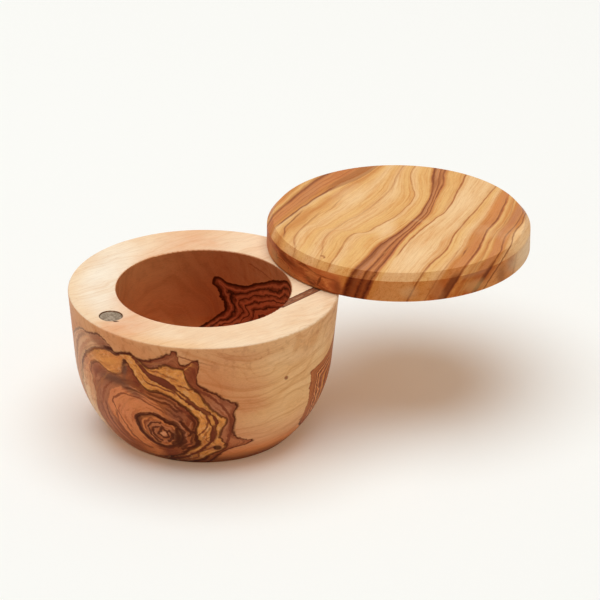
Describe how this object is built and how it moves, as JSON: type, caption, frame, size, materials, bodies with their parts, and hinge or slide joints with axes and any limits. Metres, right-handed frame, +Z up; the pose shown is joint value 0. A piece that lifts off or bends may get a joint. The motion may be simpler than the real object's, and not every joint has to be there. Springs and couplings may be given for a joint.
{
  "type": "salt box with swivel lid",
  "caption": "Turned wooden salt keeper: round bowl with a wide flat rim and a flat bevelled lid that swivels sideways on an upright pin and shuts on a magnet.",
  "frame": {"origin": "the middle of the bowl's flat base, on the surface that the box stands on", "axes": "+Z is up, along the bowl's axis and the pivot pin; +X runs from the bowl's axis to the pivot pin; the bowl's magnet lies on -X; the lid is stored swung open, with its middle 16.5 degrees clockwise of +X from the pin, seen from above"},
  "size_m": [0.205, 0.1264, 0.0757],
  "materials": {
    "olive_wood": "oiled, satin",
    "pin_steel": "ground",
    "sleeve_brass": "drawn",
    "washer_plastic": "natural",
    "magnet_plating": "worn plating"
  },
  "bodies": {
    "bowl_body": {"bowl": "olive_wood", "pivot_sleeve": "sleeve_brass", "thrust_washer": "washer_plastic", "bowl_magnet": "magnet_plating"},
    "lid_body": {"lid": "olive_wood", "pivot_pin": "pin_steel", "lid_magnet": "magnet_plating"}
  },
  "joints": [
    {"name": "lid_swivel", "type": "hinge", "parent": "bowl_body", "child": "lid_body", "pos_m": [0.04695, 0, 0.0633], "axis": [0, 0, 1], "range_deg": [-163.5, 196.5]}
  ]
}
